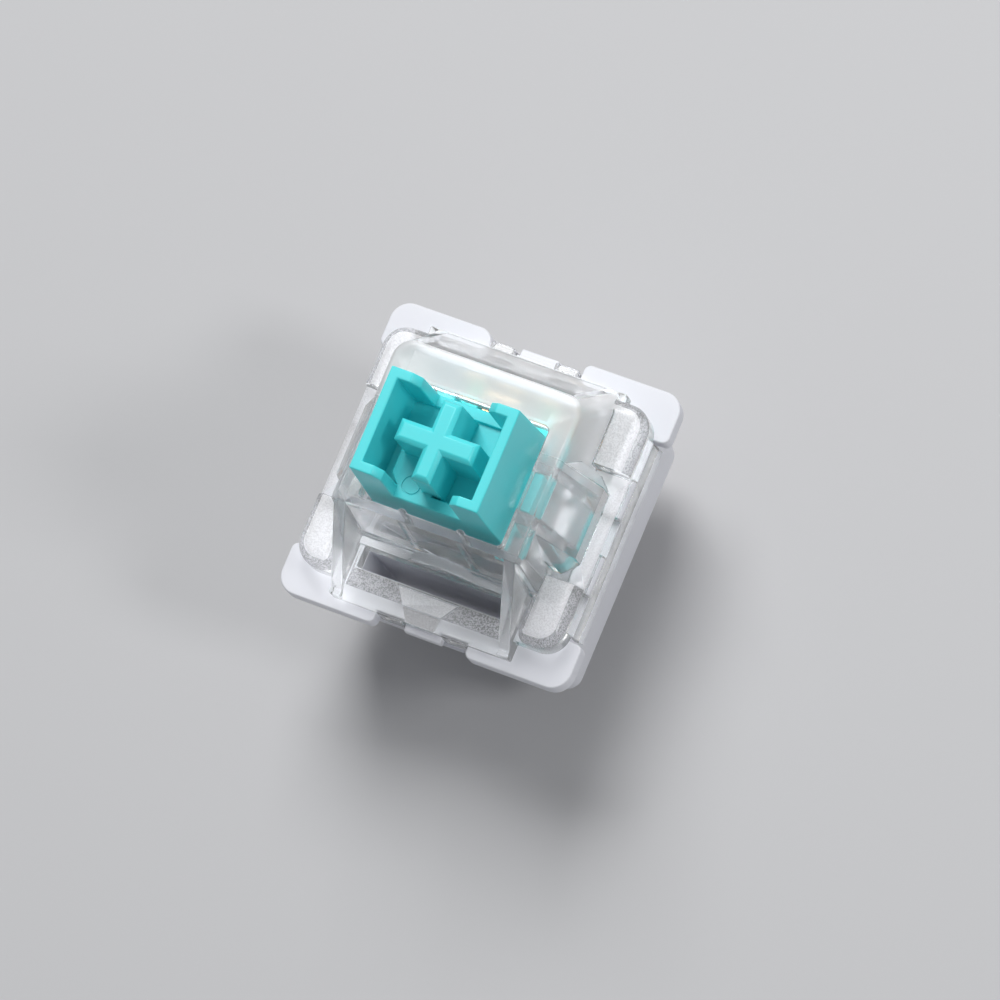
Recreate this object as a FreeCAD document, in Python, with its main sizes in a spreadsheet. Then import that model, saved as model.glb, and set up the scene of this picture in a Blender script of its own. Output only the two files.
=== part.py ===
import FreeCAD, Part
import os
import Sketcher

# A keyboard switch: a clear top housing and a milky bottom housing snapped
# together over a sliding stem, its return spring and a pair of contacts.
#
# Frame: the switch axis is Z, up through the stem. The origin is on the axis,
# where the centre post leaves the bottom housing, so the circuit board lies at
# z = 0. +Y is the contact side and -Y the lamp side. Lengths are millimetres.

SIZES = [
    ("ear_reach", 0.85, "ears that rest on the plate, beyond the body"),
    ("flange_thick", 1.0, "thickness of the ears"),
    ("seat_height", 5.0, "top of the plate above the circuit board"),
    ("body_side", 13.9, "lower body just under the plate"),
    ("foot_side", 13.3, "lower body at the circuit board"),
    ("body_round", 0.8, "corner radius of the lower body"),
    ("ear_round", 1.0, "outer corner radius of an ear"),
    ("ear_end_round", 0.35, "radius at the inner end of an ear"),
    ("keyed_ear_round", 0.75, "radius at the inner end of the far left ear"),
    ("ear_inner_end", 2.45, "where the near and far ears end, from the axis"),
    ("ear_side_end", 5.3, "where the left and right ears end, from the axis"),
    ("tab_half", 1.0, "half width of the tab between two ears"),
    ("tab_reach", 0.6, "tab beyond the body"),
    ("tab_step", 0.45, "height and depth of the step on the tab"),
    ("wall", 1.0, "wall of the bottom housing"),
    ("floor_thick", 1.2, "floor of the bottom housing"),
    ("post_radius", 1.95, "centre post that locates in the circuit board"),
    ("post_length", 3.3, "centre post below the circuit board's top"),
    ("post_chamfer", 0.35, "lead-in at the end of the post"),
    ("post_end_wall", 0.8, "closed end of the post under its bore"),
    ("collar_radius", 1.6, "collar that centres the spring"),
    ("collar_height", 1.6, "collar above the floor"),
    ("partition", 0.55, "wall between the works and the lamp slot"),
    ("slot_half", 4.0, "half width of the lamp slot"),
    ("slot_near", 5.6, "near edge of the lamp slot, from the axis"),
    ("slot_far", 4.5, "far edge of the lamp slot, from the axis"),
    ("clip_half", 1.6, "half width of the ridge that snaps under the plate"),
    ("clip_reach", 0.3, "ridge beyond the body"),
    ("plate_thick", 1.5, "plate that the ridge snaps under"),
    ("clip_height", 0.7, "height of the ridge"),
    ("relief_width", 0.4, "slit each side of the plate clip"),
    ("relief_depth", 0.5, "depth of that slit"),
    ("hook_first", 1.0, "hook edge nearer the middle"),
    ("hook_last", 3.0, "hook edge nearer the ear"),
    ("hook_thick", 0.8, "thickness of a hook's arm"),
    ("hook_inset", 0.1, "outer face of a hook's arm inside the body"),
    ("hook_nose", 0.4, "nose beyond the arm"),
    ("hook_rise", 0.6, "top of a hook above the ears"),
    ("hook_nose_height", 0.45, "height of the nose"),
    ("hook_root", 0.7, "foot of a hook below the top of the ears"),
    ("hook_bevel", 0.25, "slanted top of a nose"),
    ("snap_gap", 0.05, "clearance round a snapped part"),
    ("case_rise", 5.6, "top of the clear housing above the ears"),
    ("roof_thick", 1.0, "thickness of the roof"),
    ("ledge_rise", 1.0, "top of the clear housing's foot above the ears"),
    ("roof_half", 5.0, "half width of the roof"),
    ("roof_far", 4.9, "far edge of the roof"),
    ("roof_near", 3.6, "near edge of the roof"),
    ("cap_half", 5.3, "half width of the cap at its foot"),
    ("cap_far", 6.8, "far edge of the cap at its foot"),
    ("cap_near", 4.05, "near edge of the cap at its foot"),
    ("cap_round", 1.0, "far corner radius of the cap"),
    ("roof_round", 0.3, "edge radius of the roof"),
    ("foot_reach", 0.15, "clear foot beyond the body"),
    ("foot_half_y", 6.35, "half depth of the clear foot at the corner pads"),
    ("foot_round", 1.2, "corner radius of the clear foot"),
    ("apron_reach", 0.3, "near edge of the clear foot, beyond the body"),
    ("apron_bevel", 0.6, "slant along the near edge"),
    ("pad_rise", 0.8, "top of the corner pads above the foot"),
    ("pad_first", 2.9, "pad edge nearer the middle"),
    ("pad_round", 0.6, "edge radius of the pads"),
    ("pad_inner", 4.95, "pad edge beside the lamp recess"),
    ("pad_corner", 0.5, "corner radius of the near pads at that edge"),
    ("wing_inner", 4.2, "inner face of the walls beside the lamp recess"),
    ("wing_thick", 0.6, "thickness of those walls"),
    ("wing_drop", 0.4, "lower end of those walls' slope, below the foot's top"),
    ("rail_case_half", 2.55, "half depth of the bulge over the stem's rails"),
    ("rail_case_out", 6.4, "outer face of that bulge"),
    ("rail_case_rise", 1.1, "where the bulge starts to slope, above the foot"),
    ("rail_case_drop", 0.4, "where the bulge meets the cap, below the roof"),
    ("rail_case_slant", 0.7, "slanted end of the bulge"),
    ("skirt_thick", 0.5, "thickness of the clear skirt at its lower edge"),
    ("skirt_half", 5.1, "half depth of the clear skirt"),
    ("skirt_drop", 0.1, "where the clear skirt starts to slant, below the foot's top"),
    ("step_rise", 0.3, "clear step beside the tab, above the ears"),
    ("step_first", 1.1, "clear step beside the tab, edge nearer the middle"),
    ("step_last", 2.35, "clear step beside the tab, edge nearer the ear"),
    ("step_reach", 0.35, "that step beyond the body"),
    ("cavity_half", 4.55, "half width inside the clear housing"),
    ("cavity_far_low", 6.2, "far face inside the clear housing, at its foot"),
    ("cavity_far_high", 4.6, "far face inside the clear housing, at the roof"),
    ("window_half_x", 3.78, "half width of the stem opening"),
    ("window_half_y", 3.1, "half depth of the stem opening"),
    ("window_round", 0.25, "corner radius of the stem opening"),
    ("guide_inner", 3.75, "inner face of the ribs that guide the rails"),
    ("guide_wide", 0.55, "width of a guide rib"),
    ("guide_gap", 0.07, "clearance each side of a rail"),
    ("shelf_rise", 0.3, "shelf behind the lamp slot, above the foot"),
    ("lens_half", 1.7, "half width of the lamp's light guide"),
    ("lens_deep", 1.05, "depth of the light guide"),
    ("lens_high", 0.9, "height of the light guide"),
    ("lens_offset", 0.15, "light guide's centre, from the axis"),
    ("rib_radius", 0.3, "upright ribs on the near wall"),
    ("rib_spread", 1.54, "upright ribs, from the light guide's centre"),
    ("rib_sink", 0.15, "upright ribs' axis behind the edge of the opening"),
    ("tongue_wide_half", 1.6, "half width of the frosted tongue at the slot"),
    ("tongue_slim_half", 1.0, "half width of the frosted tongue at its end"),
    ("tongue_first", 5.75, "frosted tongue's edge at the slot"),
    ("tongue_last", 6.65, "frosted tongue's outer edge"),
    ("tongue_rise", 0.15, "height of the frosted tongue"),
    ("panel_left", 4.0, "bare sunk panel, left edge"),
    ("panel_right", 3.55, "bare sunk panel, right edge"),
    ("panel_near", 3.3, "bare sunk panel, near edge"),
    ("panel_far", 4.5, "bare sunk panel, far edge"),
    ("panel_sink", 0.08, "depth of the bare panel"),
    ("travel", 4.0, "how far the stem goes down"),
    ("bottom_gap", 0.2, "rails above the floor when the stem is down"),
    ("rest_gap", 0.05, "rails below the roof when the stem is up"),
    ("stem_rise", 4.95, "rim of the stem above its rails"),
    ("stem_rim_x", 3.37, "half width of the stem at its rim"),
    ("stem_rim_y", 2.65, "half depth of the stem at its rim"),
    ("stem_foot_x", 3.6, "half width of the stem at its lower edge"),
    ("stem_foot_y", 2.85, "half depth of the stem at its lower edge"),
    ("stem_drop", 1.75, "lower edge of the stem's box below the top of the rails"),
    ("stem_wall", 0.5, "wall of the stem"),
    ("cap_well_depth", 3.7, "floor inside the stem below its rim"),
    ("stem_web", 1.2, "thickness between that floor and the spring"),
    ("return_end", 1.77, "ends of the walls that turn in at near and far"),
    ("return_bevel", 0.45, "bevel at those ends"),
    ("near_wall_drop", 2.9, "low wall between the near ends, below the rim"),
    ("far_wall_drop", 3.5, "low wall between the far ends, below the rim"),
    ("plateau_half", 2.3, "left edge of the raised floor at the near left, from the axis"),
    ("plateau_far", 0.3, "far edge of the raised floor, from the axis"),
    ("plateau_cut", 0.5, "cut corner of the raised floor"),
    ("mark_x", 1.1, "ring mark on the raised floor, left of the axis"),
    ("mark_y", 1.95, "ring mark on the raised floor, before the axis"),
    ("mark_radius", 0.5, "outer radius of the ring mark"),
    ("mark_width", 0.1, "width of the ring mark"),
    ("mark_depth", 0.06, "depth of the ring mark"),
    ("cross_drop", 0.35, "keycap cross below the rim"),
    ("cross_half", 2.05, "half length of each arm of the cross"),
    ("cross_arm_x", 1.1, "thickness of the left-to-right arm"),
    ("cross_arm_y", 1.0, "thickness of the near-to-far arm"),
    ("cross_bevel", 0.22, "bevel at the top of the cross"),
    ("spring_well", 2.35, "hollow over the spring"),
    ("pole_radius", 0.95, "pole that runs in the centre post"),
    ("pole_reach", 0.8, "pole inside the collar when the stem is up"),
    ("pole_bevel", 0.3, "lead-in of the pole"),
    ("pole_gap", 0.08, "clearance round the pole"),
    ("rail_half", 0.98, "half width of a rail"),
    ("rail_out", 4.25, "outer face of a rail"),
    ("cheek_half", 1.5, "half depth of the cheeks that carry the rails"),
    ("cheek_inner", 3.0, "inner face of a cheek"),
    ("cheek_drop", 2.0, "lower edge of a cheek below the stem's box"),
    ("leg_first", 1.5, "leg edge nearer the middle"),
    ("leg_last", 2.5, "leg edge nearer the side"),
    ("leg_inner", 2.3, "inner face of a leg"),
    ("leg_outer", 3.3, "outer face of a leg above its cam"),
    ("cam_out", 3.95, "outer face of a cam"),
    ("cam_flat", 1.35, "height of a cam's flat above the leg's end"),
    ("cam_rise", 0.6, "height of a cam's slope"),
    ("leg_bevel", 0.3, "bevel at the end of a leg"),
    ("spring_radius", 1.95, "mean radius of the spring"),
    ("spring_wire", 0.3, "wire diameter of the spring"),
    ("spring_turns", 9, "turns of the spring"),
    ("sheet_thick", 0.2, "contact sheet metal"),
    ("pin_half", 0.55, "half width of a contact pin"),
    ("pin_point", 0.3, "taper at the end of a pin"),
    ("pin_slit_gap", 0.05, "clearance of a pin in the floor"),
    ("fixed_pin_x", -3.81, "fixed contact's pin, left of the axis"),
    ("fixed_pin_y", 2.54, "fixed contact's pin, beyond the axis"),
    ("moving_pin_x", 2.54, "moving contact's pin, right of the axis"),
    ("moving_pin_y", 5.08, "moving contact's pin, beyond the axis"),
    ("fixed_plate_y", 4.3, "near face of the fixed contact's plate"),
    ("fixed_strip_rise", 0.4, "lower edge of the fixed contact's strip above the floor"),
    ("fixed_strip_wide", 1.8, "width of the fixed contact's strip"),
    ("fixed_tongue_half", 0.9, "half width of the fixed contact's tongue"),
    ("fixed_tongue_rise", 1.4, "top of the fixed contact's tongue above the points"),
    ("terminal_half", 1.2, "half width of the moving contact's plate"),
    ("terminal_rise", 1.3, "top of the moving contact's plate above the floor"),
    ("leaf_thick", 0.12, "leaf spring's thickness"),
    ("leaf_gap", 0.05, "leaf from its terminal"),
    ("leaf_rise", 0.3, "lower edge of the leaf above the floor"),
    ("leaf_strip_rise", 1.2, "lower edge of the leaf's cross strip above the leaf's"),
    ("leaf_strip_wide", 0.9, "width of the leaf's cross strip"),
    ("leaf_arm_first", 1.45, "leaf arm's edge nearer the middle"),
    ("leaf_arm_last", 2.55, "leaf arm's edge nearer the side"),
    ("leaf_tongue_half", 0.8, "half width of the leaf's tongue"),
    ("leaf_tongue_rise", 1.0, "top of the leaf's tongue above the points"),
    ("bump_height", 0.8, "bump that rides on the cam, above the leg's end"),
    ("bump_rise", 1.1, "half height of the bump"),
    ("bump_flat", 0.1, "half height of the bump's tip"),
    ("cam_gap", 0.1, "bump from the cam"),
    ("point_radius", 0.35, "radius of the contact points"),
    ("point_rise", 0.4, "contact points above the bump"),
    ("fixed_point_thick", 0.2, "thickness of the fixed contact point"),
    ("moving_point_thick", 0.18, "thickness of the moving contact point"),
    ("holder_half", 0.8, "half width of the block round the fixed contact"),
    ("holder_near", 1.5, "near face of that block"),
    ("holder_far", 3.6, "far face of that block"),
    ("holder_rise", 1.4, "top of that block above the floor"),
    ("fence_thick", 0.3, "ribs each side of the moving contact's plate"),
    ("fence_near", 4.6, "near end of those ribs"),
    ("fence_gap", 0.1, "top of those ribs below the leaf's cross strip"),
]


# A length that remembers how it was worked out, so it can drive an expression
class Length:
    def __init__(self, text, value):
        self.text = text
        self.value = value

    def __add__(self, other):
        other = length(other)
        return Length("(%s + %s)" % (self.text, other.text), self.value + other.value)

    def __sub__(self, other):
        other = length(other)
        return Length("(%s - %s)" % (self.text, other.text), self.value - other.value)

    def __mul__(self, factor):
        return Length("(%s * %s)" % (self.text, factor), self.value * factor)

    def __truediv__(self, factor):
        factor = length(factor)
        return Length("(%s / %s)" % (self.text, factor.text), self.value / factor.value)

    def __neg__(self):
        return self * -1


def length(number):
    if isinstance(number, Length):
        return number
    return Length(str(number), float(number))


class Sheet:
    pass


doc = FreeCAD.newDocument("keyboard_switch")
sheet = doc.addObject("Spreadsheet::Sheet", "Sizes")
s = Sheet()
for row, (alias, number, meaning) in enumerate(SIZES, start=1):
    sheet.set("A%d" % row, meaning)
    sheet.set("B%d" % row, str(number))
    sheet.setAlias("B%d" % row, alias)
    setattr(s, alias, Length("Sizes." + alias, float(number)))
doc.recompute()

zero = length(0)
body_half = s.body_side / 2
inner_half = body_half - s.wall
flange_half = body_half + s.ear_reach
beyond = s.body_side
tab_end = body_half + s.tab_reach
hook_outer = body_half - s.hook_inset
hook_inner = hook_outer - s.hook_thick
apron_end = body_half + s.apron_reach

# Heights of the two housings, each worked out from the one below it
floor_top = s.floor_thick
flange_top = s.seat_height + s.flange_thick
ledge_top = flange_top + s.ledge_rise
pad_top = ledge_top + s.pad_rise
hook_top = flange_top + s.hook_rise
roof_top = flange_top + s.case_rise
roof_under = roof_top - s.roof_thick

# Heights of the stem, which hangs from the roof and stops above the floor
rail_top = roof_under - s.rest_gap
rail_low = floor_top + s.travel + s.bottom_gap
stem_top = rail_top + s.stem_rise
stem_foot = rail_top - s.stem_drop
stem_floor = stem_top - s.cap_well_depth
stem_ceiling = stem_floor - s.stem_web
cam_top = rail_low + s.cam_flat

# Heights of the contacts, which meet where the cams let them
bump_middle = rail_low + s.bump_height
point_height = bump_middle + s.point_rise
leaf_low = floor_top + s.leaf_rise
leaf_strip_low = leaf_low + s.leaf_strip_rise
leaf_strip_top = leaf_strip_low + s.leaf_strip_wide
holder_top = floor_top + s.holder_rise


def origin_plane(body, role):
    for feature in body.Origin.OriginFeatures:
        if feature.Role == role:
            return feature
    raise RuntimeError("no plane " + role)


def new_body(node):
    body = doc.addObject("PartDesign::Body", node)
    body.Label = node
    return body


def place_sketch(body, name, plane, offset):
    sketch = body.newObject("Sketcher::SketchObject", name)
    sketch.AttachmentSupport = [(origin_plane(body, plane + "_Plane"), "")]
    sketch.MapMode = "FlatFace"
    sketch.setExpression("AttachmentOffset.Base.z", offset.text)
    return sketch


# A closed outline of straight lines whose corners are all tied to the sheet
def outline_sketch(body, name, plane, offset, outlines):
    sketch = place_sketch(body, name, plane, offset)
    first = 0
    for outline in outlines:
        corners = [FreeCAD.Vector(x.value, y.value, 0) for x, y in outline]
        count = len(corners)
        sides = [Part.LineSegment(corners[i], corners[(i + 1) % count]) for i in range(count)]
        sketch.addGeometry(sides, False)
        sketch.addConstraint([Sketcher.Constraint("Coincident", first + i, 2, first + (i + 1) % count, 1)
                              for i in range(count)])
        for i, (x, y) in enumerate(outline):
            across = sketch.addConstraint(Sketcher.Constraint("DistanceX", -1, 1, first + i, 1, x.value))
            sketch.setExpression("Constraints[%d]" % across, x.text)
            along = sketch.addConstraint(Sketcher.Constraint("DistanceY", -1, 1, first + i, 1, y.value))
            sketch.setExpression("Constraints[%d]" % along, y.text)
        first += count
    return sketch


def circle_sketch(body, name, plane, offset, x, y, radius):
    sketch = place_sketch(body, name, plane, offset)
    centre = FreeCAD.Vector(x.value, y.value, 0)
    sketch.addGeometry(Part.Circle(centre, FreeCAD.Vector(0, 0, 1), radius.value), False)
    across = sketch.addConstraint(Sketcher.Constraint("DistanceX", -1, 1, 0, 3, x.value))
    sketch.setExpression("Constraints[%d]" % across, x.text)
    along = sketch.addConstraint(Sketcher.Constraint("DistanceY", -1, 1, 0, 3, y.value))
    sketch.setExpression("Constraints[%d]" % along, y.text)
    size = sketch.addConstraint(Sketcher.Constraint("Radius", 0, radius.value))
    sketch.setExpression("Constraints[%d]" % size, radius.text)
    return sketch


def rectangle(x, y):
    (x0, x1), (y0, y1) = x, y
    return [(x0, y0), (x1, y0), (x1, y1), (x0, y1)]


def ordered(a, b):
    if a.value <= b.value:
        return a, b
    return b, a


# The sketch plane of XZ looks along -Y, so its offsets change sign
def plane_offset(plane, place):
    if plane == "XZ":
        return -place
    return place


def checked(body, feature, before, grows):
    doc.recompute()
    change = body.Shape.Volume - before
    if (change > 0) != grows:
        raise RuntimeError("%s changed the volume by %.4f" % (feature.Name, change))
    return feature


def extrude(body, name, sketch_maker, plane, ends, cut):
    low, high = ordered(*ends)
    start = high if (plane == "XZ") != cut else low
    before = body.Shape.Volume if body.Tip else 0
    sketch = sketch_maker(name + "_sketch", plane, plane_offset(plane, start))
    feature = body.newObject("PartDesign::Pocket" if cut else "PartDesign::Pad", name)
    feature.Profile = sketch
    feature.setExpression("Length", (high - low).text)
    return checked(body, feature, before, not cut)


def pad(body, name, plane, ends, *outlines):
    def maker(title, plane_name, offset):
        return outline_sketch(body, title, plane_name, offset, outlines)
    return extrude(body, name, maker, plane, ends, False)


def pocket(body, name, plane, ends, *outlines):
    def maker(title, plane_name, offset):
        return outline_sketch(body, title, plane_name, offset, outlines)
    return extrude(body, name, maker, plane, ends, True)


def round_pad(body, name, plane, ends, x, y, radius):
    def maker(title, plane_name, offset):
        return circle_sketch(body, title, plane_name, offset, x, y, radius)
    return extrude(body, name, maker, plane, ends, False)


def round_pocket(body, name, plane, ends, x, y, radius):
    def maker(title, plane_name, offset):
        return circle_sketch(body, title, plane_name, offset, x, y, radius)
    return extrude(body, name, maker, plane, ends, True)


# A block with flat faces between a low rectangle and a high one. The wedge's
# own Y runs up the block, so its Z is the block's -Y.
def frustum(body, name, low, high, cut=False):
    before = body.Shape.Volume if body.Tip else 0
    feature = body.newObject("PartDesign::SubtractiveWedge" if cut else "PartDesign::AdditiveWedge", name)
    (low_height, (low_x, low_y)), (high_height, (high_x, high_y)) = low, high
    sizes = {
        "Ymin": low_height, "Ymax": high_height,
        "Xmin": low_x[0], "Xmax": low_x[1], "Zmin": -low_y[1], "Zmax": -low_y[0],
        "X2min": high_x[0], "X2max": high_x[1], "Z2min": -high_y[1], "Z2max": -high_y[0],
    }
    for side, size in sizes.items():
        setattr(feature, side, size.value)
        feature.setExpression(side, size.text)
    feature.Placement = FreeCAD.Placement(FreeCAD.Vector(), FreeCAD.Rotation(FreeCAD.Vector(1, 0, 0), 90))
    return checked(body, feature, before, not cut)


def edge_names(shape, wanted):
    return ["Edge%d" % (i + 1) for i, edge in enumerate(shape.Edges) if wanted(edge)]


def dress(body, name, kind, size, wanted):
    doc.recompute()
    base = body.Tip
    names = edge_names(base.Shape, wanted)
    if not names:
        raise RuntimeError("no edges for " + name)
    feature = body.newObject("PartDesign::" + kind, name)
    feature.Base = (base, names)
    feature.setExpression("Radius" if kind == "Fillet" else "Size", size.text)
    doc.recompute()
    if "Invalid" in feature.State or feature.Shape.isNull() or not feature.Shape.isValid():
        raise RuntimeError("%s could not be made" % name)
    return feature


def join(body, name, other):
    before = body.Shape.Volume
    feature = body.newObject("PartDesign::Boolean", name)
    feature.setObjects([other])
    feature.Type = "Fuse"
    return checked(body, feature, before, True)


def near(a, b, slack=0.02):
    return abs(a - b) < slack


# True for an edge that runs from one height to the other
def upright(edge, low, high):
    heights = sorted(vertex.Z for vertex in edge.Vertexes)
    return len(heights) == 2 and near(heights[0], low.value) and near(heights[1], high.value)


def at_corner(edge, x, y):
    middle = edge.CenterOfMass
    return near(abs(middle.x), x.value, 0.3) and near(abs(middle.y), y.value, 0.3)


def level(edge, height):
    places = [vertex.Z for vertex in edge.Vertexes] + [edge.CenterOfMass.z]
    return all(near(place, height.value) for place in places)


def bottom_housing():
    body = new_body("bottom_housing")
    foot_half = s.foot_side / 2
    frustum(body, "tray", (zero, ((-foot_half, foot_half), (-foot_half, foot_half))),
            (s.seat_height, ((-body_half, body_half), (-body_half, body_half))))
    dress(body, "tray_corners", "Fillet", s.body_round, lambda e: upright(e, zero, s.seat_height))
    pad(body, "flange", "XY", (s.seat_height, flange_top),
        rectangle((-flange_half, flange_half), (-flange_half, flange_half)))
    dress(body, "ear_corners", "Fillet", s.ear_round,
          lambda e: upright(e, s.seat_height, flange_top) and at_corner(e, flange_half, flange_half))
    for side in (-1, 1):
        pocket(body, "side_notch_%d" % (side + 1), "XY", (s.seat_height, flange_top),
               rectangle(ordered(body_half * side, beyond * side), (-s.ear_side_end, s.ear_side_end)))
        pocket(body, "end_notch_%d" % (side + 1), "XY", (s.seat_height, flange_top),
               rectangle((-s.ear_inner_end, s.ear_inner_end), ordered(body_half * side, beyond * side)))

    def ear_end(edge, x, y):
        return upright(edge, s.seat_height, flange_top) and at_corner(edge, x, y)

    def keyed(edge):
        return edge.CenterOfMass.x < 0 and edge.CenterOfMass.y > 0

    dress(body, "keyed_ear_end", "Fillet", s.keyed_ear_round,
          lambda e: ear_end(e, s.ear_inner_end, flange_half) and keyed(e))
    dress(body, "ear_ends", "Fillet", s.ear_end_round,
          lambda e: (ear_end(e, s.ear_inner_end, flange_half) and not keyed(e))
          or ear_end(e, flange_half, s.ear_side_end))

    # Stepped tabs between the near ears and between the far ones
    for side in (-1, 1):
        tab = [(body_half - s.tab_step, s.seat_height), (tab_end, s.seat_height),
               (tab_end, flange_top - s.tab_step), (tab_end - s.tab_step, flange_top - s.tab_step),
               (tab_end - s.tab_step, flange_top), (body_half - s.tab_step, flange_top)]
        pad(body, "tab_%d" % (side + 1), "YZ", (-s.tab_half, s.tab_half), [(y * side, z) for y, z in tab])

    partition_face = s.slot_far - s.partition
    pocket(body, "works_well", "XY", (floor_top, flange_top),
           rectangle((-inner_half, inner_half), (-partition_face, inner_half)))
    pocket(body, "lamp_slot", "XY", (zero, flange_top),
           rectangle((-s.slot_half, s.slot_half), (-s.slot_near, -s.slot_far)))
    round_pad(body, "spring_collar", "XY", (zero, floor_top + s.collar_height), zero, zero, s.collar_radius)
    round_pad(body, "centre_post", "XY", (-s.post_length, zero), zero, zero, s.post_radius)
    dress(body, "post_lead_in", "Chamfer", s.post_chamfer, lambda e: level(e, -s.post_length))
    round_pocket(body, "pole_bore", "XY", (s.post_end_wall - s.post_length, floor_top + s.collar_height),
                 zero, zero, s.pole_radius + s.pole_gap)

    # Blocks and ribs that hold the two contact terminals
    pad(body, "fixed_holder", "XY", (floor_top, holder_top),
        rectangle((s.fixed_pin_x - s.holder_half, s.fixed_pin_x + s.holder_half),
                  (s.holder_near, s.holder_far)))
    fence_inner = s.terminal_half + s.pin_slit_gap
    fences = [rectangle(ordered(s.moving_pin_x + fence_inner * side,
                                s.moving_pin_x + (fence_inner + s.fence_thick) * side),
                        (s.fence_near, inner_half)) for side in (-1, 1)]
    pad(body, "moving_fences", "XY", (floor_top, leaf_strip_low - s.fence_gap), *fences)
    slit_half = s.sheet_thick / 2 + s.pin_slit_gap
    slit_length = s.pin_half + s.pin_slit_gap
    pocket(body, "moving_pin_slit", "XY", (zero, floor_top),
           rectangle((s.moving_pin_x - slit_length, s.moving_pin_x + slit_length),
                     (s.moving_pin_y - slit_half, s.moving_pin_y + slit_half)))
    pocket(body, "fixed_pin_slit", "XY", (zero, floor_top),
           rectangle((s.fixed_pin_x - slit_half, s.fixed_pin_x + slit_half),
                     (s.fixed_pin_y - slit_length, s.fixed_pin_y + slit_length)))
    pocket(body, "fixed_plate_slit", "XY", (floor_top, holder_top),
           rectangle((s.fixed_pin_x - slit_half, s.fixed_pin_x + slit_half),
                     (s.fixed_pin_y - slit_length, s.holder_far)))

    # Snap hooks that hold the clear housing down
    nose = hook_outer + s.hook_nose
    nose_low = hook_top - s.hook_nose_height
    hook_root = flange_top - s.hook_root
    for side in (-1, 1):
        for end in (-1, 1):
            outline = [(hook_inner, hook_root), (hook_outer, hook_root), (hook_outer, nose_low),
                       (nose, nose_low), (nose, hook_top - s.hook_bevel), (nose - s.hook_bevel, hook_top),
                       (hook_inner, hook_top)]
            pad(body, "hook_%d_%d" % (side + 1, end + 1), "XZ",
                ordered(s.hook_first * end, s.hook_last * end), [(x * side, z) for x, z in outline])

    # Clips that snap under the plate, each on a tongue between two slits
    clip_top = s.seat_height - s.plate_thick
    for side in (-1, 1):
        face = body_half * side
        tip = (body_half + s.clip_reach) * side
        back = inner_half * side
        pad(body, "plate_clip_%d" % (side + 1), "YZ", (-s.clip_half, s.clip_half),
            [(back, clip_top), (tip, clip_top), (face, clip_top - s.clip_height),
             (back, clip_top - s.clip_height)])
        slits = [rectangle(ordered(s.clip_half * end, (s.clip_half + s.relief_width) * end),
                           ordered((body_half - s.relief_depth) * side, beyond * side)) for end in (-1, 1)]
        pocket(body, "clip_slits_%d" % (side + 1), "XY", (floor_top, s.seat_height), *slits)
    return body


# The rounded block that leaves the four corner pads
def top_housing_foot():
    body = new_body("top_housing_foot")
    foot_half = body_half + s.foot_reach
    pad(body, "foot", "XY", (flange_top, pad_top),
        rectangle((-foot_half, foot_half), (-s.foot_half_y, s.foot_half_y)))
    dress(body, "foot_corners", "Fillet", s.foot_round, lambda e: upright(e, flange_top, pad_top))
    dress(body, "pad_edges", "Fillet", s.pad_round, lambda e: level(e, pad_top))
    for side in (-1, 1):
        pocket(body, "side_hollow_%d" % (side + 1), "XY", (ledge_top, pad_top),
               rectangle(ordered(s.roof_half * side, beyond * side), (-s.pad_first, s.pad_first)))
    return body


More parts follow.
